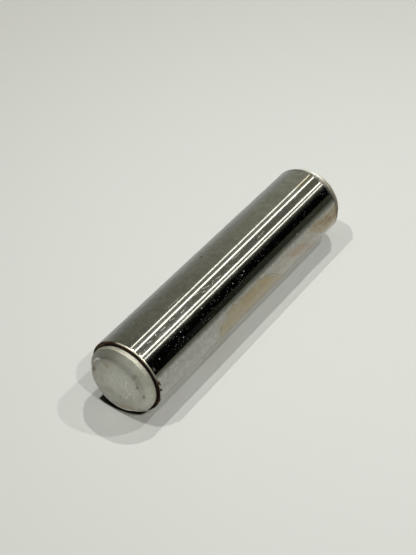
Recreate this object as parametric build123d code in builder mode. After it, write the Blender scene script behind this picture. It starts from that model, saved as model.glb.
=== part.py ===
"""Full-floating piston pin with pressed-in end plugs, in millimetres.

A ground steel tube carries the load between the connecting rod and the
piston bosses. A turned aluminium plug closes each end, and stands proud of
the tube so that soft metal, not hard steel, rubs the cylinder wall if the
pin drifts sideways. The pin stands on the flat land of its lower plug: the
origin is the centre of that land, and +Z runs up the axis of the tube.
"""

from build123d import *

import os

# ---------------------------------------------------------------- tube
pin_diameter = 23.4  # ground outside diameter, the size the bosses are bored for
tube_length = 94.6  # from end face to end face
tube_edge_radius = 0.6  # rounding of the outer edge at each end
bore_diameter = 14.3  # straight bore, end to end
bore_mouth_chamfer = 0.8  # lead-in for the plug's spigot

# ---------------------------------------------------------------- end plugs
head_diameter = 21.4  # turned side of the head
head_side_height = 1.6  # from the tube's end face to the start of the bevel
bevel_height = 2.2  # from the side up to the flat land
land_diameter = 17.4  # flat end that rubs the cylinder wall
under_edge_chamfer = 0.3  # leaves the narrow groove where head and tube meet
side_edge_radius = 0.25  # softened edge between side and bevel
land_edge_radius = 0.4  # softened edge between bevel and land
spigot_length = 12.0  # how far the plug reaches into the bore
spigot_lead = 1.0  # taper at the tip of the spigot
spigot_clearance = 0.01  # radial, so that the press fit is drawn without overlap

# ---------------------------------------------------------------- worked out
head_height = head_side_height + bevel_height
bottom_face = head_height  # height of the tube's lower end face
top_face = bottom_face + tube_length  # height of its upper end face
spigot_radius = bore_diameter / 2 - spigot_clearance

# A seat is one end face of the tube, with its normal pointing out of the tube.
upper_seat = Plane(origin=(0, 0, top_face), x_dir=(1, 0, 0), z_dir=(0, 0, 1))
lower_seat = Plane(origin=(0, 0, bottom_face), x_dir=(1, 0, 0), z_dir=(0, 0, -1))


def section_through(seat):
    """The plane through the pin's axis, drawn as radius across and height off the seat."""
    return Plane(origin=seat.origin, x_dir=seat.x_dir, z_dir=-seat.y_dir)


def ring_edges(plug, height, radius, seat):
    """The circular edge of a plug at a height off its seat and a radius from the axis."""
    return [
        edge
        for edge in plug.edges().filter_by(GeomType.CIRCLE)
        if abs(edge.radius - radius) < 1e-6
        and abs(seat.to_local_coords(edge.arc_center).Z - height) < 1e-6
    ]


def end_plug(seat):
    """One plug: a bevelled head on the tube's end face, and a spigot down the bore."""
    head_radius = head_diameter / 2
    land_radius = land_diameter / 2
    with BuildPart() as plug:
        with BuildSketch(section_through(seat)):
            with BuildLine():
                Polyline(
                    (0, -spigot_length),
                    (spigot_radius - spigot_lead / 2, -spigot_length),
                    (spigot_radius, -spigot_length + spigot_lead),
                    (spigot_radius, 0),
                    (head_radius - under_edge_chamfer, 0),
                    (head_radius, under_edge_chamfer),
                    (head_radius, head_side_height),
                    (land_radius, head_height),
                    (0, head_height),
                    close=True,
                )
            make_face()
        revolve(axis=Axis(seat.origin, seat.z_dir))
        fillet(ring_edges(plug, head_side_height, head_radius, seat), side_edge_radius)
        fillet(ring_edges(plug, head_height, land_radius, seat), land_edge_radius)
    return plug


# The tube: a thick ring drawn out to its length, rounded outside and led in inside.
with BuildPart() as pin_tube:
    with BuildSketch(Plane.XY.offset(bottom_face)):
        Circle(pin_diameter / 2)
        Circle(bore_diameter / 2, mode=Mode.SUBTRACT)
    extrude(amount=tube_length)
    end_edges = pin_tube.edges().filter_by(GeomType.CIRCLE)
    outer_edges = end_edges.filter_by(lambda edge: edge.radius > bore_diameter / 2 + 1e-6)
    mouth_edges = end_edges.filter_by(lambda edge: edge.radius < pin_diameter / 2 - 1e-6)
    fillet(outer_edges, tube_edge_radius)
    chamfer(mouth_edges, bore_mouth_chamfer)

upper_plug = end_plug(upper_seat)
lower_plug = end_plug(lower_seat)

pin_tube.part.label = "pin_tube"
upper_plug.part.label = "upper_plug"
lower_plug.part.label = "lower_plug"

os.makedirs("parts", exist_ok=True)
export_step(pin_tube.part, "parts/pin_tube.step")
export_step(upper_plug.part, "parts/upper_plug.step")
export_step(lower_plug.part, "parts/lower_plug.step")

print("overall length", round(top_face + head_height, 3))
print("ground length for the bosses", round(tube_length - 2 * tube_edge_radius, 3))
for piece in (pin_tube, upper_plug, lower_plug):
    print(piece.part.label, "volume", round(piece.part.volume, 1), "mm3")
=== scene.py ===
# %% [markdown]
# # A piston pin with two end plugs
#
# A piston pin joins a piston to its connecting rod. This one is a ground steel tube with a soft
# aluminium plug pressed into each end, so that the hard steel can't score the cylinder wall when
# the pin floats sideways. The solids come from the CAD model, which is loaded as a fixed frame:
# nothing here moves or reshapes them. What Blender adds is what the solids can't carry, namely
# the finishes, the dirt in the seams, the light and the camera.

# %% Load the packed solids
import math

import bpy
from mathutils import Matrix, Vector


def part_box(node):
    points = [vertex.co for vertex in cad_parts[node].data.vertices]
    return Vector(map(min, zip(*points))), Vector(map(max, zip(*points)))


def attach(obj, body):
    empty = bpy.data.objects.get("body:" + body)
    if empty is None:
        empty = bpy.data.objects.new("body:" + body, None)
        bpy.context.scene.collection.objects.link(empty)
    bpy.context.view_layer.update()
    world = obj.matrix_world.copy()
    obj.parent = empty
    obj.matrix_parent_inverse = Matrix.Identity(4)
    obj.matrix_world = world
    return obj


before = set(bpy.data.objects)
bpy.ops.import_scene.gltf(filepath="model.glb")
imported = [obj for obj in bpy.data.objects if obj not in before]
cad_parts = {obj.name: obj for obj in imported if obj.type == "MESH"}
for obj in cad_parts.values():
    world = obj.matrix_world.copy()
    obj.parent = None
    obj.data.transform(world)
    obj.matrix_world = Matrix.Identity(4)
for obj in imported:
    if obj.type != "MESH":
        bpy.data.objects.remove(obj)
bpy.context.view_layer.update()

tube, upper_plug, lower_plug = (
    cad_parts[name] for name in ("pin_tube", "upper_plug", "lower_plug")
)
MM = 0.001

# %% [markdown]
# ## Sizes that the finishes need
#
# The pin stands on one end in the CAD frame, with its axis along Z, so a place on it is told by
# two numbers: how far it lies along the axis, and the angle round it. The radii and heights are
# read from the solids' own boxes, and so the dirt and the wear stay in place if the model is
# ever packed again with other sizes. Two small sizes inside a piece don't show in its box: the
# rounding of the tube's ends and the height of a plug's bevel. They are given here.

# %% Read the sizes from the solids
pin_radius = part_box("pin_tube")[1].x / MM
tube_bottom, tube_top = (corner.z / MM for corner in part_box("pin_tube"))
head_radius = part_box("upper_plug")[1].x / MM
pin_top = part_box("upper_plug")[1].z / MM
middle = pin_top / 2
half_pin, half_tube = pin_top / 2, (tube_top - tube_bottom) / 2
EDGE_ROUNDING, BEVEL_HEIGHT = 0.6, 2.2
print(f"tube radius {pin_radius:.2f}, from {tube_bottom:.2f} to {tube_top:.2f} mm")
print(f"plug head radius {head_radius:.2f}, pin top {pin_top:.2f} mm")

# %% [markdown]
# ## The camera
#
# The real pin lies on a table and is seen from above one end. The solid stands upright, so the
# camera is turned instead of the pin: it looks at it from the same side, distance and tilt as a
# person at the table does, with the table behind the pin as a pale upright wall. A lens of
# about 80 mm on a 36 mm sensor keeps the perspective gentle.

# %% Place the camera
CAMERA_PLACE, CAMERA_TURN = (-0.15183, -0.24554, 0.27693), (-41.875, 34.859, 179.987)
LENS_MM, SENSOR_MM = 80.16, 36
bpy.ops.object.camera_add(
    location=CAMERA_PLACE, rotation=[math.radians(angle) for angle in CAMERA_TURN]
)
camera = bpy.context.object
camera.name = "table_camera"
camera.data.lens = LENS_MM
camera.data.sensor_width = SENSOR_MM
bpy.context.scene.camera = camera
bpy.context.scene.view_settings.view_transform = "Standard"
print("camera at", tuple(round(c, 4) for c in camera.location))

# %% [markdown]
# ## Formulas for materials
#
# A Blender material is a graph of nodes, and most of its nodes do arithmetic. Wiring them by
# hand hides the sum they make. The small class below wraps one output socket and gives it
# Python's own operators, so that `1 - mask * 0.5` adds the two Math nodes that work it out.
# Every other kind of node comes from its one method `node`, which sets the node up first and
# then fills its inputs with plain values or with other wrapped sockets.

# %% A socket that Python's operators work on
# A Mix node has several sockets of one name, so its colour ones are told by number.
MIX_FIRST, MIX_SECOND, MIX_RESULT = 6, 7, 2


class Wire:
    """One output socket of a node tree, with arithmetic."""

    def __init__(self, tree, socket=None):
        self.tree, self.socket = tree, socket

    def node(self, kind, settings=None, inputs=None, output=0):
        """Adds a node of this kind, sets it up, fills its inputs and wraps one output."""
        made = self.tree.nodes.new("ShaderNode" + kind)
        for name, value in (settings or {}).items():
            setattr(made, name, value)
        for name, value in (inputs or {}).items():
            self.feed(made.inputs[name], value)
        return Wire(self.tree, made.outputs[output])

    def feed(self, socket, value):
        """Links a wrapped socket to an input, or writes a plain value there."""
        if isinstance(value, Wire):
            self.tree.links.new(value.socket, socket)
        else:
            socket.default_value = value

    def math(self, operation, *values):
        """One Math node with this operation on these values."""
        return self.node("Math", {"operation": operation}, dict(enumerate(values)))

    def __add__(self, other):
        return self.math("ADD", self, other)

    def __sub__(self, other):
        return self.math("SUBTRACT", self, other)

    def __rsub__(self, other):
        return self.math("SUBTRACT", other, self)

    def __mul__(self, other):
        return self.math("MULTIPLY", self, other)

    def __truediv__(self, other):
        return self.math("DIVIDE", self, other)

    def __pow__(self, other):
        return self.math("POWER", self, other)

    def __abs__(self):
        return self.math("ABSOLUTE", self)

    __radd__ = __add__
    __rmul__ = __mul__

    def larger(self, other):
        """The larger of the two at each point."""
        return self.math("MAXIMUM", self, other)

    def smaller(self, other):
        """The smaller of the two at each point."""
        return self.math("MINIMUM", self, other)

    def rise(self, low, high):
        """0 below low, 1 above high, and a smooth step between."""
        return self.node(
            "MapRange",
            {"interpolation_type": "SMOOTHSTEP"},
            {"Value": self, "From Min": low, "From Max": high},
        )

    def within(self, low, high, soft):
        """1 between low and high, fading out over the width soft on each side."""
        return self.rise(low - soft, low + soft) * (1 - self.rise(high - soft, high + soft))

    def mix(self, mask, first, second):
        """The first colour where the mask is 0 and the second where it is 1."""
        inputs = {"Factor": mask, MIX_FIRST: first, MIX_SECOND: second}
        return self.node("Mix", {"data_type": "RGBA"}, inputs, MIX_RESULT)

    def tint(self, mask, colour):
        """This colour, turned to another one where the mask is 1."""
        return self.mix(mask, self, colour)

    def under(self, *layers):
        """This colour under several masks in turn, each with its own colour."""
        colour = self
        for mask, tone in layers:
            colour = colour.tint(mask, tone)
        return colour

    def noise(self, scale, detail, roughness=0.5):
        """Noise at this point, from 0 to 1."""
        inputs = {"Vector": self, "Scale": scale, "Detail": detail, "Roughness": roughness}
        return self.node("TexNoise", None, inputs)

    def stretched(self, x, y, z):
        """The same point with each axis scaled."""
        return self.node("VectorMath", {"operation": "MULTIPLY"}, {0: self, 1: (x, y, z)})

    def axes(self):
        """The X, the Y and the Z of this point."""
        split = self.node("SeparateXYZ", None, {0: self}).socket.node
        return [Wire(self.tree, split.outputs[axis]) for axis in "XYZ"]


print("a wire can", ", ".join(name for name in vars(Wire) if not name.startswith("_")))

# %% Helpers for a whole material
SPECULAR = 0.1


def new_material(name):
    """An empty material with little gloss, its shader, and a wire on its tree."""
    made = bpy.data.materials.new(name)
    made.use_nodes = True
    shader = made.node_tree.nodes["Principled BSDF"]
    shader.inputs["Specular IOR Level"].default_value = SPECULAR
    return made, shader, Wire(made.node_tree)


def is_ray(wire, kind):
    """1 for a ray of this kind, such as Glossy for one that polished metal has mirrored."""
    return wire.node("LightPath", output=f"Is {kind} Ray")


def dress(wire, shader, colour, roughness, relief, strength, depth):
    """Feeds a shader its colour, its roughness and a bump, its depth told in metres."""
    bump = wire.node("Bump", None, {"Strength": strength, "Distance": depth, "Height": relief})
    wire.feed(shader.inputs["Base Color"], colour)
    wire.feed(shader.inputs["Roughness"], roughness)
    wire.feed(shader.inputs["Normal"], bump)


print("new materials start with a specular level of", SPECULAR)

# %% [markdown]
# ## Places on a surface
#
# Dirt, stains and scratches lie at places. On the tube's wall a place is how far it lies from
# the near rim along the pin, and how far round, both in millimetres as if the wall were rolled
# out flat. On a plug's face it is across and up. Three kinds of mark do for nearly everything:
# an oval with a ragged edge, a stroke that may be bent, and a patch whose sides lean over.

# %% Three kinds of mark
def squared(value):
    """The value times itself, which unlike a power also works below zero."""
    return value * value


def oval(across, up, centre, size, soft, ragged=0.0):
    """1 inside an oval on the surface, fading over its edge."""
    away = squared((across - centre[0]) / size[0]) + squared((up - centre[1]) / size[1])
    return 1 - ((away**0.5) + ragged).rise(1 - soft, 1 + soft)


def stroke(across, up, start, end, width, bend=0.0):
    """1 along a thin line between two places, bowed to one side by bend."""
    length = math.dist(start, end)
    run = [(b - a) / length for a, b in zip(start, end)]
    right, rise = across - start[0], up - start[1]
    along = right * run[0] + rise * run[1]
    beside = right * run[1] - rise * run[0]
    if bend:
        beside = beside + squared(along - length / 2) * (4 * bend / length**2) - bend
    return along.within(0, length, length * 0.12) * (1 - abs(beside).rise(width * 0.3, width))


def slanted(across, up, sides, ends, slant, soft, ragged):
    """1 in a four-sided patch whose left and right sides lean over by slant."""
    leaning = across - up * slant + ragged
    return leaning.within(*sides, soft) * (up + ragged * 0.6).within(*ends, soft)


def strongest(masks):
    """The largest of several masks at each point."""
    masks = list(masks)
    result = masks[0]
    for mask in masks[1:]:
        result = result.larger(mask)
    return result


print("marks ready")

# %% [markdown]
# ## The table
#
# The real table is a plain pale board that the pin lies on, and the pin's soft grey shadows fall
# on it. It touches the pin along one line, so here it is a large plane at the pin's radius on
# the +Y side. Seen from behind it would hide the pin, so its material turns clear for rays that
# come from its back, and the pin can be looked at from all round. The board's colour is painted
# darker away from the pin, as painted shade where the lamps reach it less. For the mirrored rays
# that graze it from low down, a painted reflection makes it darker on one side and brighter on
# the other. Soft light that has already bounced passes through it, and so the board doesn't fill
# the pin's shaded underside with glare. Under the near plug lies a black painted contact shadow.

# %% Make the table
TABLE_SIZE = 4
bpy.ops.mesh.primitive_plane_add(
    size=TABLE_SIZE, location=(0, pin_radius * MM, middle * MM), rotation=(math.radians(90), 0, 0)
)
table = bpy.context.object
table.name = "table"
print("table touches the pin at y =", round(table.location.y, 5))

# %% Mix the board's colour
# Places on the board are in metres from its centre.
TABLE_COLOUR, TABLE_PAINTED_SHADE_COLOUR = (0.709, 0.715, 0.664, 1), (0.546, 0.546, 0.500, 1)
TABLE_ROUGHNESS, BRIGHTEST_PLACE, FADE = 0.65, (-0.035, -0.040), (0.03, 0.30)
table_paint, shader, wire = new_material("pale_table")
shader.inputs["Roughness"].default_value = TABLE_ROUGHNESS
place = wire.node("TexCoord", output="Object")
across, up, _ = place.axes()
right, back = across - BRIGHTEST_PLACE[0], up - BRIGHTEST_PLACE[1]
away = (squared(right) + squared(back)) ** 0.5
# Painted shade: the board's colour fades darker away from the brightest place near the pin.
board = wire.mix(away.rise(*FADE), TABLE_COLOUR, TABLE_PAINTED_SHADE_COLOUR)
print("board", TABLE_COLOUR[:3], "near the pin and", TABLE_PAINTED_SHADE_COLOUR[:3], "far from it")

# %% Add the painted contact shadow and the painted reflection on the board
PAINTED_REFLECTION_DARK, PAINTED_REFLECTION_LIGHT = (0.47, 0.475, 0.44, 1), (0.86, 0.86, 0.80, 1)
CONTACT_SHADOW_COLOUR, CONTACT_SHADOW_HEIGHT, CONTACT_SHADOW_LEAN = (0.009, 0.008, 0.005, 1), tube_top - 0.2, 0.09
CONTACT_SHADOW_CENTRE, CONTACT_SHADOW_SIZE, CONTACT_SHADOW_END = (0.0022, 0), (0.0079, 0.0027), (0.0081, 0.0086)
# Painted shadow: the mask called oil is a black painted contact shadow under the near plug.
outward = up + (middle - CONTACT_SHADOW_HEIGHT) * MM - across * CONTACT_SHADOW_LEAN
oil = oval(across, outward, CONTACT_SHADOW_CENTRE, CONTACT_SHADOW_SIZE, 0.08) * (1 - across.rise(*CONTACT_SHADOW_END))
# Painted reflection: mirrored rays see the board darker on one side, brighter on the other.
mirrored = is_ray(wire, "Glossy")
board = board.under(
    (oil, CONTACT_SHADOW_COLOUR),
    (mirrored * across.rise(0.010, 0.022), PAINTED_REFLECTION_DARK),
    (mirrored * across.within(-0.0140, -0.002, 0.003), PAINTED_REFLECTION_LIGHT),
)
wire.feed(shader.inputs["Base Color"], board)
print("oil stain", CONTACT_SHADOW_SIZE[0] * 2 / MM, "mm long")

# %% Clear the board for its back and for bounced light
behind = wire.node("NewGeometry", output="Backfacing")
bounced = wire.node("LightPath", output="Diffuse Depth").rise(0.0, 0.5)
clear = wire.node("BsdfTransparent")
solid = Wire(wire.tree, shader.outputs[0])
shown = wire.node("MixShader", None, {0: behind.larger(bounced), 1: solid, 2: clear})
wire.feed(wire.tree.nodes["Material Output"].inputs["Surface"], shown)
table.data.materials.append(table_paint)
print("table nodes:", len(table_paint.node_tree.nodes))

# %% [markdown]
# ## The room light
#
# Four small lamps hang above the table, and the pin throws one soft-edged shadow for each.
# One large lamp would blur them into one, so each is a small disc, and its direction is worked
# from its own shadow.

# %% Hang the lamps
LAMP_DISTANCE, LAMP_SIZE = 1.3, 0.025
# Each: its direction from the pin and its power in watts.
LAMPS = {
    "lamp_far_right": ((-0.391, -1.0, -0.508), 3.07),
    "lamp_far_middle": ((0.073, -1.0, -0.411), 4.52),
    "lamp_near_left": ((0.271, -1.0, 0.273), 4.29),
    "lamp_near_right": ((-0.650, -1.0, 0.270), 3.47),
}
for name, (direction, power) in LAMPS.items():
    length = math.sqrt(sum(c * c for c in direction))
    spot = [c / length * LAMP_DISTANCE for c in direction]
    spot[2] += middle * MM
    bpy.ops.object.light_add(type="AREA", location=spot)
    lamp = bpy.context.object
    lamp.name = name
    lamp.data.shape = "DISK"
    lamp.data.size = LAMP_SIZE
    lamp.data.energy = power
    lamp.visible_camera = False
    aim = lamp.location.copy()
    aim.z -= middle * MM
    lamp.rotation_euler = aim.to_track_quat("Z", "Y").to_euler()
print("lamps:", ", ".join(LAMPS))

# %% [markdown]
# ## The world
#
# The walls and the ceiling of a room send a little light from everywhere, most of it from
# overhead. They needn't be built: Blender's world is a shell round the scene, whose strength can
# differ with the direction and with the kind of ray. So it lights the pin softly, and shows as a
# pale ground wherever the table isn't in the way.

# %% Paint the world
WORLD_TONE = (0.86, 0.865, 0.84, 1)
AMBIENT, OVERHEAD_SHARE, EVEN_SHARE = 0.22, 1.25, 0.2
world = bpy.data.worlds.new("pale_room")
bpy.context.scene.world = world
world.use_nodes = True
wire = Wire(world.node_tree)
ground = world.node_tree.nodes["Background"]
ground.inputs["Color"].default_value = WORLD_TONE
seen = strongest(is_ray(wire, kind) for kind in ("Camera", "Glossy", "Transmission"))
direction = wire.node("TexCoord", output="Generated")
overhead = (direction.axes()[1] * -1).larger(0.0)
ambient = overhead * (OVERHEAD_SHARE * AMBIENT) + EVEN_SHARE * AMBIENT
wire.feed(ground.inputs["Strength"], seen * (1 - ambient) + ambient)
print("world strength", AMBIENT, "for soft light and 1 where it is seen")

# %% [markdown]
# ## Cards for the steel to mirror
#
# Polished metal has almost no colour of its own: it shows what stands around it. A studio
# therefore puts grey and black cards and thin strip lights beside it, and so does this scene.
# Each card is a flat panel that faces the pin's axis, told by the angle at which it stands round
# the pin. A ray from the camera that strikes the pin near its top bounces down and meets a card
# at one height, and a ray that strikes its bottom meets it lower, so a card's brightness is told
# at these two heights for each of its two edges. Only mirrored rays can see the cards, so they
# throw no shadow, light nothing else and never stand in a camera's way. Two of them are dark
# and are called flags, as they are in a studio.

# %% Stand the cards round the pin
# Heights and radii are in millimetres.
CARD_TOP, CARD_BOTTOM = 2200, -2200
OLIVE, WALL_GREY, GREEN = (0.985, 1.0, 0.815, 1), (0.97, 1.0, 0.905, 1), (0.9, 1, 0.7, 1)
LOW_TONE = 0.32
UPPER_HEIGHT, UPPER_FALL = 86, 0.684
LOWER_HEIGHT, LOWER_FALL = 14, 0.944
HIGH_FADE, LOW_FADE = (0, 250), (-500, -150)


def around(angle, radius):
    """The x and y of a point at this angle from -Y towards -X."""
    turn = math.radians(angle)
    return -math.sin(turn) * radius, -math.cos(turn) * radius


def mirror_heights(radius):
    """Where rays mirrored by the pin's top and bottom strike a card at this radius."""
    return UPPER_HEIGHT - UPPER_FALL * radius, LOWER_HEIGHT - LOWER_FALL * radius


def stand_panel(name, angles, radius, slant=0.0):
    """A tall panel between two angles, and wires for its place across (0 to 1) and up (mm)."""
    centre = sum(angles) / 2
    x, y = around(centre, radius)
    bpy.ops.mesh.primitive_plane_add(
        size=1,
        location=(x * MM, y * MM, (CARD_TOP + CARD_BOTTOM) / 2 * MM),
        rotation=(math.radians(90), 0, math.radians(180 - centre)),
    )
    panel = bpy.context.object
    panel.name = name
    half_width = radius * math.tan(math.radians(angles[1] - angles[0]) / 2)
    panel.scale = (2 * half_width * MM, (CARD_TOP - CARD_BOTTOM) * MM, 1)
    panel.rotation_euler.rotate_axis("Z", math.radians(slant))
    paint, _, wire = new_material(name)
    across, up, _ = wire.node("TexCoord", output="Object").axes()
    for ray in ("camera", "diffuse", "transmission", "volume_scatter", "shadow"):
        setattr(panel, "visible_" + ray, False)
    panel.data.materials.append(paint)
    return paint, wire, across + 0.5, up * (CARD_TOP - CARD_BOTTOM)


def light_panel(paint, wire, colour, strength):
    """Makes the panel glow with this strength."""
    glow = wire.node("Emission", None, {"Color": colour, "Strength": strength})
    wire.feed(paint.node_tree.nodes["Material Output"].inputs["Surface"], glow)


def card(name, angles, radius, first, last, high, cap=0.8, colour=OLIVE):
    """A glowing card: first and last are its tones at the two mirror heights, on its two
    edges, high is its tone above the pin's top, and far below it fades to LOW_TONE."""
    paint, wire, across, up = stand_panel(name, angles, radius)
    upper_height, lower_height = mirror_heights(radius)
    down = (up - upper_height) / (lower_height - upper_height)
    first_edge, last_edge = (
        down * (lower_tone - upper_tone) + upper_tone for upper_tone, lower_tone in (first, last)
    )
    tone = (first_edge + (last_edge - first_edge) * across).larger(0.0).smaller(cap)
    tone = tone + (high - tone) * up.rise(*HIGH_FADE)
    below = 1 - up.rise(*(lower_height + step for step in LOW_FADE))
    light_panel(paint, wire, colour, tone + (LOW_TONE - tone) * below)


card("left_low_card", (-125, -85), 90, (0.62, 0.66), (0.37, 0.47), 0.30, colour=WALL_GREY)
card("left_wall_card", (-108, -72), 700, (0.44, 0.50), (0.285, 0.41), 0.26, colour=WALL_GREY)
card("left_ceiling_card", (-72, -36), 700, (0.285, 0.41), (0.25, 0.42), 0.28)
card("ceiling_left_card", (-36, -6), 700, (0.25, 0.42), (0.28, 0.44), 0.34)
card("ceiling_card", (-8, 36), 720, (0.25, 0.24), (0.25, 0.23), 0.45)
card("ceiling_edge_card", (36, 46), 500, (0.09, 0.09), (0.0, 0.0), 0.45)
card("black_flag", (46, 68), 500, (0.001, 0.001), (0.001, 0.001), 0.45)
card("green_flag", (67, 96), 490, (0.010, 0.075), (0.010, 0.075), 0.40, 0.08, GREEN)
card("right_low_card", (82.5, 91.5), 90, (0.19, 0.14), (0.30, 0.32), 0.35)
card("right_edge_card", (91.5, 98.5), 90, (0.45, 0.40), (0.66, 0.56), 0.4, colour=WALL_GREY)

# %% [markdown]
# ## Strip lights
#
# Long lamps on the ceiling show in the steel as bright lines along the pin. Real area lamps
# would light the table as well, so these are narrow glowing panels that, like the cards, only
# mirrored rays can see. Each leans a little, so that its line lies right at both ends.

# %% Hang the strip lights
# Each: its angle where the pin's top mirrors it and where its bottom does, its width in degrees
# and its strength. Above the pin a strip fades to the tone of the cards. The two mirror
# heights are those at which the pin's top and bottom mirror a strip, in millimetres.
STRIP_RADIUS = 480
STRIP_COLOUR, STRIP_HIGH_TONE, STRIP_FADE = (1, 0.99, 0.93, 1), 0.45, (100, 400)
STRIPS = {
    "strip_1": ((-14.9, -18.5), 3.0, 3.9),
    "strip_2": ((-0.8, -4.1), 3.8, 4.6),
    "strip_3": ((23.3, 21.8), 3.6, 4.6),
    "strip_4": ((32.9, 30.5), 3.0, 3.6),
}
UPPER_MIRROR, LOWER_MIRROR = -245, -391
for name, ((upper, lower), width, glow) in STRIPS.items():
    drift = (upper - lower) / (UPPER_MIRROR - LOWER_MIRROR)
    centre = upper + drift * ((CARD_TOP + CARD_BOTTOM) / 2 - UPPER_MIRROR)
    slant = -math.degrees(math.atan(math.radians(drift) * STRIP_RADIUS))
    sides = (centre - width / 2, centre + width / 2)
    paint, wire, _, up = stand_panel(name, sides, STRIP_RADIUS, slant)
    lit = (1 - up.rise(*STRIP_FADE)) * (glow - STRIP_HIGH_TONE) + STRIP_HIGH_TONE
    light_panel(paint, wire, STRIP_COLOUR, lit)
print("strips:", ", ".join(STRIPS))

# %% [markdown]
# ## Ground steel
#
# The tube is hardened steel, ground on the outside between two wheels until it is almost a
# mirror. One plain metal colour would make it look new, so its material is worked out from the
# place on the wall: the steel first, and then each mark laid over it in the steps that follow.
# Grinding leaves a grain of fine lines round the pin. Noise of a point whose Z is scaled up far
# more than its X and Y has such lines, and needs no picture file.

# %% The steel's places and its base
STEEL_DARK, STEEL_LIGHT = (0.322, 0.317, 0.290, 1), (0.414, 0.410, 0.387, 1)
STEEL_ROUGHNESS, GRAIN_STRETCH = 0.065, (300, 300, 9000)
steel, shader, wire = new_material("ground_steel")
place = wire.node("TexCoord", output="Object")
x, y, z = (axis / MM for axis in place.axes())
radius = (squared(x) + squared(y)) ** 0.5
around_mm = wire.math("ARCTAN2", x * -1, y * -1) * pin_radius
along_mm = tube_top - EDGE_ROUNDING - z
degree = math.radians(1) * pin_radius

mottle = place.noise(650, 3.0, 0.6) - 0.5
cloud = place.noise(120, 3.0, 0.55) - 0.5
uneven = (mottle * 0.9 + cloud * 0.5 + 0.5).rise(0.25, 0.75)
colour = wire.mix(uneven, STEEL_DARK, STEEL_LIGHT)
grain = place.stretched(*GRAIN_STRETCH).noise(1.0, 2.0)
roughness = grain * 0.03 + cloud.rise(0.0, 0.25) * 0.03 + STEEL_ROUGHNESS
print("ground steel with a grain round the pin")

# %% Marks on the wall, in mm along the pin and degrees round it
ragged = (place.noise(260, 4.0, 0.65) - 0.5) * 5


def wall_patch(sides, ends, lean, soft):
    """A ragged patch between two places along the pin and two angles round it."""
    ends = [end * degree for end in ends]
    return slanted(along_mm, around_mm, sides, ends, lean / degree, soft, ragged)


def wall_stroke(start, end, width, wander, bend=0.0):
    """A line from one place to another, which wanders a little along the pin."""
    start, end = ((along, around * degree) for along, around in (start, end))
    return stroke(along_mm + ragged * wander, around_mm, start, end, width, bend)


def wall_spot(centre, size, soft, wander):
    """An oval whose edge wanders a little."""
    centre, size = ((along, around * degree) for along, around in (centre, size))
    return oval(along_mm, around_mm, centre, size, soft, ragged * wander)


print(f"one degree round the pin is {degree:.3f} mm")

# %% [markdown]
# ## Tan patches of old oil
#
# Years of storage have left a thin varnish of old oil on the steel, in tan patches, each with a
# darker line where it dried last. A painted picture could carry them, but masks worked out by
# formula stay sharp at any distance. Each patch has four sides, two of which lean over, and an
# edge that wanders. Noise makes it streaky, and its own edge gives the darker line.

# %% Lay the oil patches over the steel
TAN, DRIED_EDGE, HAZE = (0.330, 0.278, 0.179, 1), (0.17, 0.13, 0.07, 1), (0.350, 0.315, 0.250, 1)
PINKISH, RUSTY = (0.345, 0.275, 0.220, 1), (0.200, 0.135, 0.068, 1)
MOTTLE, AMBER = (0.150, 0.136, 0.108, 1), (0.205, 0.178, 0.110, 1)
LEAN = 0.35
# Each: its sides in mm along, its ends in degrees round, lean, softness and depth.
PATCHES = [
    ((6.5, 26.8), (69.5, 112), LEAN, 0.9, 1.0),
    ((28.5, 46.0), (76, 114), 0.0, 1.8, 0.9),
    ((51.5, 68.0), (69, 99), LEAN, 0.9, 1.0),
    ((10.0, 24.0), (135, 160), 0.1, 1.6, 0.6),
    ((60.0, 84.0), (-160, -122), -0.1, 1.6, 0.7),
    ((24.0, 33.0), (-118, -100), 0.1, 1.2, 0.5),
]
streaky = place.stretched(1, 1, 0.35).noise(480, 4.0, 0.7).rise(0.30, 0.68)
flecked = place.noise(560, 4.0, 0.7).rise(0.46, 0.60)
mottled = place.noise(900, 3.0, 0.7).rise(0.42, 0.62)

patches = strongest(wall_patch(*where) * depth for *where, depth in PATCHES)
dried_edge = patches.within(0.25, 0.6, 0.12) * streaky
patches = patches * (streaky * 0.80 + 0.50)
haze = wall_patch((43.0, 82.0), (70, 106), 0.0, 1.6)
pinkish = wall_patch((38.0, 45.5), (73, 108), LEAN, 1.1)
rusty = wall_patch((55.5, 66.5), (72, 93), LEAN, 1.0)
# One more is a thin amber line along the wall near the far rim.
amber = stroke(along_mm, around_mm, (84.5, 7.6 * degree), (95.2, 7.6 * degree), 0.6)
colour = colour.under(
    (haze * 0.40, HAZE),
    (patches, TAN),
    (dried_edge * 0.5, DRIED_EDGE),
    (pinkish * (streaky * 0.5 + 0.6), PINKISH),
    (rusty * (flecked * 0.7 + 0.2), RUSTY),
    (mottled * 0.16, MOTTLE),
    (amber * 0.85, AMBER),
)
roughness = roughness + patches * 0.10
print(len(PATCHES), "oil patches")

# %% [markdown]
# ## Tide lines, scratches and specks
#
# Where oil crept over the steel and dried it left thin dark lines, and handling has left fine
# scratches, a few nicks and pits and a dust of dull specks. Cut into the solid, they would need
# a very fine mesh. As strokes and ovals in the material they cost nothing, and a bump lets the
# scratches catch the light. The specks are the middles of the cells of a Voronoi pattern.

# %% Draw the tide lines and the scratches
TIDE_TONE, BARE_TONE = (0.16, 0.13, 0.08, 1), (0.60, 0.59, 0.53, 1)
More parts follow.
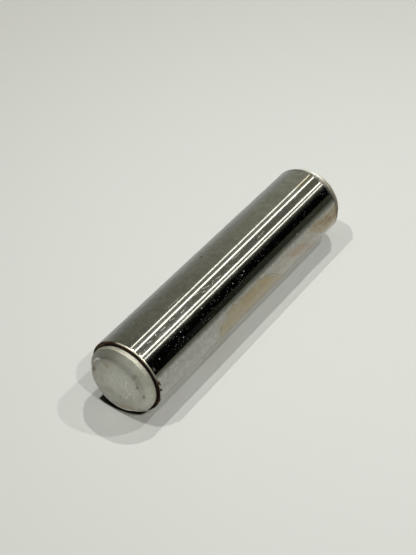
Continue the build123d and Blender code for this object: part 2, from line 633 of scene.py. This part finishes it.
# Each: its start and its end, its width and its bend.
TIDE_LINES = [
    ((51.0, 70), (58.8, 90), 0.22, 0.7),
    ((58.6, 89), (63.0, 106), 0.22, -0.3),
    ((44.5, 69.5), (51.3, 70.5), 0.16, 0.4),
    ((71.8, 79), (76.0, 93), 0.18, 0.5),
    ((76.0, 93), (81.0, 110), 0.18, -0.3),
    ((79.0, 68), (83.5, 94), 0.20, 0.7),
    ((62.0, 84), (63.2, 90), 0.20, 0.0),
    ((46.5, 84), (50.5, 104), 0.14, 0.6),
    ((37.0, 84), (43.0, 106), 0.14, 0.6),
    ((40.0, 70), (40.8, 84), 0.12, 0.2),
]
tide = strongest(
    wall_stroke(start, end, width, 0.15, bend) for start, end, width, bend in TIDE_LINES
)
colour = colour.tint(tide * 0.45, TIDE_TONE)
SCRATCHES = [
    ((4.5, 20.0), (6.3, 21.5)), ((8.6, 17.5), (8.1, 22.5)), ((10.5, 20.5), (12.5, 20.8)),
    ((15.0, 19.0), (16.8, 21.0)), ((19.5, 22.0), (22.0, 21.0)), ((27.0, 17.0), (29.0, 19.0)),
    ((29.5, 21.0), (31.0, 23.5)), ((30.5, 18.5), (33.5, 22.5)), ((34.0, 24.0), (35.8, 19.5)),
    ((36.5, 21.5), (38.5, 23.5)), ((21.8, 1.0), (22.2, 8.0)), ((18.5, 4.2), (25.5, 3.8)),
    ((3.6, -34.0), (2.9, -20.0)), ((4.6, -38.0), (4.0, -30.0)), ((46.0, 18.0), (49.5, 18.8)),
    ((58.0, 21.5), (62.0, 20.5)), ((60.0, 140), (68.0, 150)), ((30.0, -80), (38.0, -92)),
]
SCRATCH_WIDTH = 0.06
scratches = strongest(wall_stroke(*ends, SCRATCH_WIDTH, 0.12) for ends in SCRATCHES)
colour = colour.tint(scratches * 0.35, BARE_TONE)
print(len(TIDE_LINES), "tide lines and", len(SCRATCHES), "scratches")

# %% Strew the specks, the nicks and the pits
SPECK_TONE, NICK_TONE, PIT_TONE = (
    (0.135, 0.132, 0.115, 1), (0.60, 0.59, 0.52, 1), (0.035, 0.025, 0.018, 1)
)
NICK_SIZE = (0.17, 0.14)
NICKS = [
    (14.6, 48), (14.9, 40), (39.8, 43), (44.4, 43.5),
    (45.8, 41.5), (32.0, 33.5), (4.0, 46), (25.6, 37),
]
# Each: its centre, its size and its depth.
PITS = [
    ((42.1, -23.5), (0.50, 2.4), 0.95), ((64.5, -25), (0.6, 2.6), 0.30),
    ((30.7, 61), (0.6, 1.3), 0.5), ((71.5, 58.5), (0.4, 1.4), 0.4),
]
near_part = 0.9 - along_mm.rise(45, 75) * 0.4
dust = 1 - wire.node("TexVoronoi", None, {"Vector": place, "Scale": 1500.0}).rise(0.08, 0.22)
dust = dust * place.noise(160, 3.0, 0.6).rise(0.42, 0.62)
nicks = strongest(
    oval(along_mm, around_mm, (along, around * degree), NICK_SIZE, 0.6) for along, around in NICKS
)
specks = (dust * near_part).larger(nicks)
pits = strongest(wall_spot(centre, size, 0.4, 0.1) * depth for centre, size, depth in PITS)
colour = colour.under((specks, SPECK_TONE), (nicks * 0.7, NICK_TONE), (pits, PIT_TONE))
roughness = roughness + specks * 0.30 + scratches * 0.16
print(len(NICKS), "nicks and", len(PITS), "pits in the dust")

# %% [markdown]
# ## Rust on the rims
#
# The grinding wheel never reaches the rounded rims and the end faces, so they rust first. The
# rust could be painted on by hand, but its place follows from the shape: the way from the wall
# over the rounding and in towards the plug is measured as one length. Rust covers its middle in
# a broken band, and black dirt fills its end, where the plug begins. Painted shade darkens the
# rim's underside towards the table. On an arc of the near rim the rust is thinner and a painted
# highlight lies in its colour, and on the far rim lie a film of oil and a thin dark line.

# %% Rust, seam dirt and painted shade on the rims
DARK_RUST, BROWN_RUST = (0.028, 0.014, 0.009, 1), (0.105, 0.048, 0.020, 1)
BLACK_DIRT, DUSTY_DIRT = (0.004, 0.0035, 0.003, 1), (0.100, 0.082, 0.052, 1)
middle_height = abs(z - middle)
over_rim = (middle_height - (half_tube - EDGE_ROUNDING)) + (pin_radius - radius)
patchy = place.noise(380, 4.0, 0.7)
near_end = z.rise(middle - 1, middle + 1)
far_end = 1 - near_end
# On this arc of the near rim the rust is thinner and a painted highlight is laid in.
highlight_arc = around_mm.within(-14 * degree, 64 * degree, 5 * degree) * near_end
left_arc = around_mm.within(-75 * degree, -16 * degree, 5 * degree) * near_end
worn = over_rim + (patchy - 0.5) * 0.5
rust = (worn - highlight_arc * 0.34 + left_arc * 0.14).rise(0.24, 0.54)
brown = place.noise(900, 3.0).rise(0.42, 0.66)
rust_tone = wire.mix(brown, DARK_RUST, BROWN_RUST)
RIM_SPOTS = [
    ((-0.15, 71), (0.45, 3.0)), ((0.25, 75), (0.16, 2.0)), ((0.05, 83), (0.30, 2.4)),
    ((0.45, 86), (0.12, 1.5)), ((-0.1, 104), (0.3, 3.0)),
]
spots = strongest(wall_spot(centre, size, 0.5, 0.25) for centre, size in RIM_SPOTS)
# Painted shade: the rim's underside towards the table is darkened with the seam dirt's tone.
underside_shade = abs(around_mm).rise(128 * degree, 140 * degree)
dirt = (worn + underside_shade * 0.8).rise(0.82, 1.12)
dusty = around_mm.within(-90 * degree, -37 * degree, 4 * degree) * near_end
dirt_tone = wire.mix(dusty, BLACK_DIRT, DUSTY_DIRT)
print("rust on both rims and", len(RIM_SPOTS), "spots of it on the wall")

# %% A painted highlight, a rusty fringe, an oil film and a dark line
RIM_HIGHLIGHT_TONE, FRINGE_TONE = (0.780, 0.700, 0.550, 1), (0.17, 0.10, 0.05, 1)
FILM_TONE, LINE_TONE = (0.200, 0.190, 0.150, 1), (0.050, 0.045, 0.030, 1)
fringe = over_rim.within(-0.9, 0.3, 0.3) * place.noise(520, 4.0, 0.7).rise(0.54, 0.72)
# Painted highlight: a cream band in the middle of the rounding, fading round towards the side.
rim_highlight = over_rim.within(0.12, 0.58, 0.12) * highlight_arc
rim_highlight = rim_highlight * (1 - around_mm.rise(16 * degree, 52 * degree) * 0.6)
film = over_rim.within(-0.15, 0.50, 0.12) * far_end
far_line = over_rim.within(-0.85, -0.25, 0.15) * far_end * (patchy * 0.8 + 0.3)
colour = colour.under(
    (rim_highlight * 0.9, RIM_HIGHLIGHT_TONE),
    (fringe * 0.5, FRINGE_TONE),
    (film * 0.85, FILM_TONE),
    (far_line * 0.75, LINE_TONE),
    (rust.larger(spots), rust_tone),
    (dirt, dirt_tone),
)
roughness = roughness + rim_highlight * 0.25 + film * 0.4 + far_line * 0.2
print("rims finished over", round(pin_radius - head_radius, 2), "mm from the wall to the plug")

# %% Feed the steel's shader
# Rust and dirt are rough and no metal, and the thin films and the painted highlight are in
# between.
COVER_ROUGHNESS = 0.75
cover = rust.larger(dirt).larger(spots).larger(pits).larger(fringe * 0.5)
dull = rim_highlight * 0.5 + film * 0.6 + far_line * 0.4
relief = grain * 0.05 + cover * patchy * 0.6 - scratches * 0.2
roughness = roughness + (COVER_ROUGHNESS - roughness) * cover
dress(wire, shader, colour, roughness, relief, strength=0.35, depth=0.00008)
wire.feed(shader.inputs["Metallic"], 1 - cover.larger(specks) * 0.9 - dull * (1 - cover))
tube.data.materials.clear()
tube.data.materials.append(steel)
print("steel nodes:", len(steel.node_tree.nodes))

# %% [markdown]
# ## Crust in the corners
#
# Where each plug's head meets the tube's end there is a corner that no cloth reaches, and old
# oil, dust and rust have set there in a thin uneven ring. A torus is the natural start. It is
# pushed in and out by a cloudy texture, so that its edge wanders as dried dirt does.

# %% Mix the crust's paint
# The dusty part is an arc round the upper ring, in radians.
CRUST_BLACK, CRUST_RUST = (0.006, 0.005, 0.004, 1), (0.070, 0.032, 0.014, 1)
DUSTY_ARC = (-1.57, -0.65)
crust_paint, shader, wire = new_material("seam_crust")
place = wire.node("TexCoord", output="Object")
rusting = place.noise(700, 4.0, 0.7)
crust_tone = wire.mix(rusting.rise(0.50, 0.70), CRUST_BLACK, CRUST_RUST)
x, y, z = place.axes()
angle = wire.math("ARCTAN2", x * -1, y * -1)
dusty = angle.within(*DUSTY_ARC, 0.08) * z.rise((middle - 1) * MM, (middle + 1) * MM)
crust_tone = crust_tone.tint(dusty * 0.85, DUSTY_DIRT)
dress(wire, shader, crust_tone, rusting * 0.2 + 0.7, rusting, strength=0.5, depth=0.0001)
print("crust nodes:", len(crust_paint.node_tree.nodes))

# %% Make the crust rings
CRUST_RADIUS, CRUST_SET_OUT, CRUST_SINK = 0.26, 0.31, 0.02
CRUST_PUSH, CRUST_ZERO = 0.30, 0.55
clouds = bpy.data.textures.new("crust_clouds", type="CLOUDS")
clouds.noise_scale = 0.0012
clouds.noise_depth = 3
for name, height, flip in (
    ("seam_crust_upper", tube_top - CRUST_SINK, 0.0),
    ("seam_crust_lower", tube_bottom + CRUST_SINK, math.pi),
):
    bpy.ops.object.select_all(action="DESELECT")
    bpy.ops.mesh.primitive_torus_add(
        major_radius=(head_radius + CRUST_SET_OUT) * MM,
        minor_radius=CRUST_RADIUS * MM,
        major_segments=240,
        minor_segments=12,
        location=(0, 0, height * MM),
        rotation=(flip, 0, 0),
    )
    crust = bpy.context.object
    crust.name = name
    bpy.ops.object.transform_apply(location=True, rotation=True, scale=True)
    push = crust.modifiers.new("uneven", "DISPLACE")
    push.texture = clouds
    push.texture_coords = "LOCAL"
    push.strength = CRUST_PUSH * MM
    push.mid_level = CRUST_ZERO
    bpy.ops.object.modifier_apply(modifier=push.name)
    bpy.ops.object.shade_smooth()
    crust.data.materials.append(crust_paint)
    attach(crust, "root")
    print(name, "has", len(crust.data.polygons), "faces")

# %% [markdown]
# ## Turned aluminium
#
# The plugs are soft aluminium, turned on a lathe. Their faces have gone dull and blotchy, the
# sloping edge is smoother and the short side wall behind it still shines. Both plugs share one
# material, which tells face, slope and side apart by the height. The lower plug's marks are
# turned round the axis, so that the two ends don't wear the same stains. Fine rings from the
# lathe tool run round the middle: noise of the radius alone makes them.

# %% The aluminium's places and its base
FAR_TURN = math.radians(130)
DULL, CLEAN = (0.400, 0.398, 0.356, 1), (0.497, 0.497, 0.454, 1)
RING_TONE, MIDDLE_TONE = (0.62, 0.62, 0.60, 1), (0.590, 0.592, 0.550, 1)
EDGE_SHADE_TONE = (0.300, 0.288, 0.280, 1)
aluminium, shader, wire = new_material("plug_aluminium")
place = wire.node("TexCoord", output="Object")
x, y, z = (axis / MM for axis in place.axes())
radius = (squared(x) + squared(y)) ** 0.5
middle_height = abs(z - middle)
far_end = 1 - z.rise(middle - 1, middle + 1)
cosine, sine = math.cos(FAR_TURN), math.sin(FAR_TURN)
across = x * -1 * (1 - far_end) + (x * cosine - y * sine) * far_end
up = y * -1 * (1 - far_end) + (x * sine + y * cosine) * far_end

bevel_start = half_pin - BEVEL_HEIGHT
on_face = middle_height.rise(half_pin - 0.12, half_pin - 0.02)
on_side = 1 - middle_height.rise(bevel_start - 0.1, bevel_start + 0.1)
on_slope = 1 - on_face.larger(on_side)
blotch = place.noise(330, 4.0, 0.6)
fine = place.noise(1500, 3.0, 0.65)
tone = (blotch * 0.65 + fine * 0.35).rise(0.33, 0.67)
colour = wire.mix(tone, DULL, CLEAN)
rings = wire.node(
    "TexNoise",
    {"noise_dimensions": "1D"},
    {"W": radius, "Scale": 6.0, "Detail": 3.0, "Roughness": 0.6},
)
ragged = (place.noise(420, 4.0, 0.6) - 0.5) * 1.1
bright_middle = oval(across, up, (1.1, 1.1), (4.7, 4.9), 0.30, ragged * 0.5) * on_face
# Painted shade: a darker ring round the edge of the face, stronger towards the top.
edge_ring_shade = radius.within(7.7, 9.3, 0.3) * on_face.larger(on_slope)
colour = colour.under(
    (rings.rise(0.5, 0.7) * 0.18 * on_face, RING_TONE),
    (bright_middle * 0.55, MIDDLE_TONE),
    (edge_ring_shade * (up.rise(-4, 5) * 0.5 + 0.12), EDGE_SHADE_TONE),
)
print("face rings, blotches and a brighter middle")

# %% [markdown]
# ## Stains, nicks and dirt on the aluminium
#
# The face has light nicks where something has struck it, brown stains and dark spots, and old oil
# has crept out of the corner on one side. On that side painted shade darkens the sloping edge,
# and painted highlights lie near the face's edge. The corner against the steel is black with
# dirt, and the far plug's side wall is painted lighter on one side and tan on its shaded side.
# They are told by places across and up the face, in millimetres, as on a small map, and laid
# over each other in the order in which they came: bare nicks first and dirt last.

# %% Nicks, spots and stains on the face
STROKE_TONE, SPOT_TONE, STAIN_TONE = (
    (0.78, 0.78, 0.74, 1), (0.17, 0.15, 0.11, 1), (0.40, 0.31, 0.20, 1)
)
# Each: its start and its end, its width and its bend.
LIGHT_STROKES = [
    ((1.5, 2.7), (2.6, -1.4), 0.22, 0.1), ((4.5, -0.3), (2.8, -3.8), 0.22, 0.1),
    ((3.4, 3.5), (2.9, 1.3), 0.36, 0.0), ((3.0, 1.6), (3.6, -0.9), 0.16, 0.1),
    ((-2.4, 3.4), (-0.6, 0.4), 0.14, 0.3),
    ((-1.2, 3.9), (0.2, 2.4), 0.16, 0.1), ((-4.6, 0.8), (-3.2, -2.2), 0.10, 0.3),
    ((0.9, 1.9), (1.6, -0.6), 0.14, 0.1), ((1.9, -2.2), (2.9, -3.6), 0.14, 0.1),
    ((5.3, 0.9), (5.9, -1.7), 0.12, -0.2), ((-0.9, -1.2), (0.4, -2.6), 0.12, 0.2),
]
# Each: its centre, its size and its depth.
DARK_SPOTS = [
    ((6.2, 6.5), (0.4, 0.7), 0.45), ((7.0, 3.3), (0.45, 0.6), 0.6),
    ((8.9, 0.5), (0.22, 0.6), 0.6), ((-7.9, 1.6), (0.5, 0.7), 0.5),
    ((0.9, -4.0), (0.5, 0.5), 0.3), ((-2.0, 3.6), (0.4, 0.3), 0.2),
    ((5.6, 6.8), (0.3, 0.25), 0.35), ((6.9, 4.6), (0.3, 0.5), 0.3),
]
STAINS = [
    ((-3.6, 6.0), (1.3, 0.8), 0.6), ((-7.5, 2.3), (0.6, 1.2), 0.5),
    ((4.4, -6.5), (2.6, 0.55), 0.8), ((1.2, -7.6), (2.2, 0.45), 0.45),
    ((-2.0, 8.0), (0.8, 0.5), 0.4), ((-3.2, 4.9), (0.5, 0.5), 0.4),
]


def face_spots(marks, soft):
    """The strongest of several ragged ovals on the face, each with its depth."""
    return strongest(oval(across, up, c, s, soft, ragged) * depth for c, s, depth in marks)


strokes = strongest(stroke(across, up, *mark) for mark in LIGHT_STROKES)
broken = place.noise(800, 3.0, 0.6).rise(0.24, 0.52)
spots, stains = face_spots(DARK_SPOTS, 0.6), face_spots(STAINS, 0.7)
colour = colour.tint(strokes * (broken * 0.6 + 0.25) * 0.7 * on_face, STROKE_TONE)
colour = colour.tint(spots, SPOT_TONE).tint(stains, STAIN_TONE)
print(len(LIGHT_STROKES), "nicks,", len(DARK_SPOTS), "spots and", len(STAINS), "stains")

# %% Painted shade and painted highlights on the slope, and the side wall's tone
WARM_TINGE, OLIVE_TINGE = (0.44, 0.38, 0.36, 1), (0.40, 0.39, 0.28, 1)
SLOPE_SHADE_TONE, SIDE_TONE, EDGE_HIGHLIGHT_TONE = (
    (0.235, 0.232, 0.200, 1), (0.500, 0.480, 0.385, 1), (0.86, 0.85, 0.78, 1)
)
tinge = place.noise(210, 3.0, 0.6)
# Painted shade: the sloping edge, and faintly the side wall, is darker towards the upper left.
slope_shade = oval(across, up, (-5.5, 7.5), (7.5, 7.0), 0.5, ragged * 0.4)
# Painted highlights: two bright lines near the face's edge, one at the upper left, one at the
# bottom.
edge_highlight = stroke(across, up, (-8.1, 3.9), (-5.6, 6.8), 0.32, -0.4).larger(
    stroke(across, up, (-6.0, -6.6), (6.2, -6.4), 0.36, 2.2)
)
colour = colour.under(
    (tinge.rise(0.52, 0.68) * 0.30, WARM_TINGE),
    ((1 - tinge.rise(0.34, 0.46)) * on_slope * 0.35, OLIVE_TINGE),
    (on_slope.larger(on_side * 0.4) * slope_shade * 0.5, SLOPE_SHADE_TONE),
    (on_side * 0.6, SIDE_TONE),
    (edge_highlight * 0.8, EDGE_HIGHLIGHT_TONE),
)
print("oil on one side of the slope and a burnished line on the other")

# %% Dirt in the corner against the steel, and painted light and shade on the far side wall
CREEP_TONE, CORNER_TONE, FLECK_TONE = (
    (0.085, 0.060, 0.034, 1), (0.005, 0.004, 0.003, 1), (0.20, 0.17, 0.13, 1)
)
FAR_SIDE_PAINTED_LIGHT, FAR_SIDE_PAINTED_SHADE = (0.80, 0.80, 0.76, 1), (0.290, 0.262, 0.205, 1)
DIRT_FADE = (0.24, 0.42)
rim_height = middle_height - half_tube + ragged * 0.12
creep = (1 - rim_height.rise(0.5, 1.1)) * across.within(-9.8, -4.6, 1.4) * up.rise(1, 5)
dirt = 1 - rim_height.rise(*DIRT_FADE)
# Painted light and shade: the far plug's side wall is lighter on one side and tan on its shaded
# side.
shaded = (x * -1).rise(2.5, 6.5)
flecks = 1 - wire.node("TexVoronoi", None, {"Vector": place, "Scale": 700.0}).rise(0.06, 0.16)
colour = colour.under(
    (creep * 0.75, CREEP_TONE),
    (on_side * far_end * (1 - shaded) * 0.6, FAR_SIDE_PAINTED_LIGHT),
    (on_side * far_end * shaded * 0.8, FAR_SIDE_PAINTED_SHADE),
    (dirt, CORNER_TONE),
    (flecks * 0.5, FLECK_TONE),
)
print("corner dirt reaches", DIRT_FADE[1], "mm up the plug's side")

# %% Feed the aluminium's shader
roughness = on_side * 0.21 + blotch * 0.12 + 0.38 + dirt * 0.2 + spots * 0.2 + on_face * 0.04
relief = rings * on_face * 0.5 + fine * 0.35 + blotch * 0.3 - spots * 1.2 - strokes * 0.4
dress(wire, shader, colour, roughness, relief, strength=0.4, depth=0.00012)
wire.feed(shader.inputs["Metallic"], 0.95 - dirt.larger(spots) * 0.8 - stains * 0.3)
for plug in (upper_plug, lower_plug):
    plug.data.materials.clear()
    plug.data.materials.append(aluminium)
print("aluminium nodes:", len(aluminium.node_tree.nodes))
